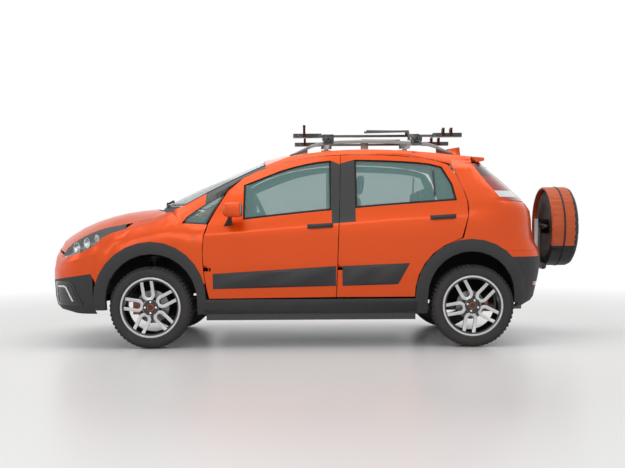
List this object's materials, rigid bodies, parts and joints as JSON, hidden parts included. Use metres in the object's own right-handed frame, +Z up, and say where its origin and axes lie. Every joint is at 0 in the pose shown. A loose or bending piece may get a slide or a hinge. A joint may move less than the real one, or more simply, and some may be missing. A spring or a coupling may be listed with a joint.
{
  "type": "crossover hatchback car",
  "caption": "Crossover hatchback with a hollow cabin, opening doors, bonnet and tailgate, plastic arch bands, a roof rack for bicycles and a covered spare wheel on a swing-out carrier.",
  "frame": {"origin": "centre of the bounding box at the floor, under the car", "axes": "-X towards the nose, -Y towards the car's left side, +Z up"},
  "size_m": [4.379, 2.081, 1.7892],
  "materials": {
    "body_paint": "gloss",
    "underbody_paint": "satin",
    "black_plastic": "matte",
    "glass": "gloss",
    "lamp": "gloss",
    "lamp_red": "gloss",
    "rail_grey": "satin",
    "rack_black": "matte",
    "seat_fabric": "matte",
    "dash_plastic": "matte",
    "engine": "matte",
    "chassis": "satin",
    "exhaust": "satin",
    "tyre": "matte",
    "rim": "satin"
  },
  "bodies": {
    "body": {"underbody": "underbody_paint", "side_frame_left": "body_paint", "side_frame_right": "body_paint", "roof_skin": "body_paint", "fixed_glass": "glass", "cowl_wipers": "black_plastic", "fender_left": "body_paint", "fender_right": "body_paint", "front_bumper": "body_paint", "rear_bumper": "body_paint", "cladding_left": "black_plastic", "cladding_right": "black_plastic", "cladding_front": "black_plastic", "cladding_rear": "black_plastic", "front_grilles": "black_plastic", "headlamps": "lamp", "tail_lamps": "lamp_red", "roof_rails": "rail_grey", "roof_rack": "rack_black", "seats": "seat_fabric", "dashboard": "dash_plastic", "steering_wheel": "dash_plastic", "engine_block": "engine", "front_subframe": "chassis", "rear_axle": "chassis", "exhaust_tank": "exhaust"},
    "door_front_left": {"door_front_left": "body_paint", "glass_front_left": "glass", "trim_front_left": "black_plastic"},
    "wheel_front_left": {"tyre_front_left": "tyre", "rim_front_left": "rim"},
    "door_front_right": {"door_front_right": "body_paint", "glass_front_right": "glass", "trim_front_right": "black_plastic"},
    "wheel_front_right": {"tyre_front_right": "tyre", "rim_front_right": "rim"},
    "door_rear_left": {"door_rear_left": "body_paint", "glass_rear_left": "glass", "trim_rear_left": "black_plastic"},
    "wheel_rear_left": {"tyre_rear_left": "tyre", "rim_rear_left": "rim"},
    "door_rear_right": {"door_rear_right": "body_paint", "glass_rear_right": "glass", "trim_rear_right": "black_plastic"},
    "wheel_rear_right": {"tyre_rear_right": "tyre", "rim_rear_right": "rim"},
    "bonnet": {"bonnet": "body_paint"},
    "tailgate": {"tailgate": "body_paint", "tailgate_glass": "glass"},
    "spare_carrier": {"spare_arm": "chassis", "spare_wheel": "tyre", "spare_cover": "body_paint"},
    "knuckle_left": {"knuckle_left": "chassis"},
    "knuckle_right": {"knuckle_right": "chassis"}
  },
  "joints": [
    {"name": "door_front_left_hinge", "type": "hinge", "parent": "body", "child": "door_front_left", "pos_m": [-0.8575, -0.833, 0.665], "axis": [0, 0, -1], "range_deg": [0, 65]},
    {"name": "door_rear_left_hinge", "type": "hinge", "parent": "body", "child": "door_rear_left", "pos_m": [0.1945, -0.833, 0.695], "axis": [0, 0, -1], "range_deg": [0, 65]},
    {"name": "steer_left", "type": "hinge", "parent": "body", "child": "knuckle_left", "pos_m": [-1.3135, -0.655, 0.23], "axis": [0, 0.1404, 0.9901], "range_deg": [-35, 35]},
    {"name": "wheel_front_left_spin", "type": "hinge", "parent": "knuckle_left", "child": "wheel_front_left", "pos_m": [-1.3135, -0.735, 0.32], "axis": [0, 1, 0], "continuous": true},
    {"name": "wheel_rear_left_spin", "type": "hinge", "parent": "body", "child": "wheel_rear_left", "pos_m": [1.1965, -0.735, 0.32], "axis": [0, 1, 0], "continuous": true},
    {"name": "door_front_right_hinge", "type": "hinge", "parent": "body", "child": "door_front_right", "pos_m": [-0.8575, 0.833, 0.665], "axis": [0, 0, 1], "range_deg": [0, 65]},
    {"name": "door_rear_right_hinge", "type": "hinge", "parent": "body", "child": "door_rear_right", "pos_m": [0.1945, 0.833, 0.695], "axis": [0, 0, 1], "range_deg": [0, 65]},
    {"name": "steer_right", "type": "hinge", "parent": "body", "child": "knuckle_right", "pos_m": [-1.3135, 0.655, 0.23], "axis": [0, -0.1404, 0.9901], "range_deg": [-35, 35]},
    {"name": "wheel_front_right_spin", "type": "hinge", "parent": "knuckle_right", "child": "wheel_front_right", "pos_m": [-1.3135, 0.735, 0.32], "axis": [0, 1, 0], "continuous": true},
    {"name": "wheel_rear_right_spin", "type": "hinge", "parent": "body", "child": "wheel_rear_right", "pos_m": [1.1965, 0.735, 0.32], "axis": [0, 1, 0], "continuous": true},
    {"name": "bonnet_hinge", "type": "hinge", "parent": "body", "child": "bonnet", "pos_m": [-1.1735, 0, 1.062], "axis": [0, 1, 0], "range_deg": [0, 50]},
    {"name": "spare_swing", "type": "hinge", "parent": "body", "child": "spare_carrier", "pos_m": [1.8565, 0.56, 0.6], "axis": [0, 0, 1], "range_deg": [0, 100]},
    {"name": "tailgate_hinge", "type": "hinge", "parent": "body", "child": "tailgate", "pos_m": [1.2745, 0, 1.523], "axis": [0, -1, 0], "range_deg": [0, 70]}
  ],
  "couplings": [
    {"joint": "steer_right", "follows": "steer_left", "ratio": 1},
    {"joint": "tailgate_hinge", "follows": "spare_swing", "ratio": 0.7}
  ]
}
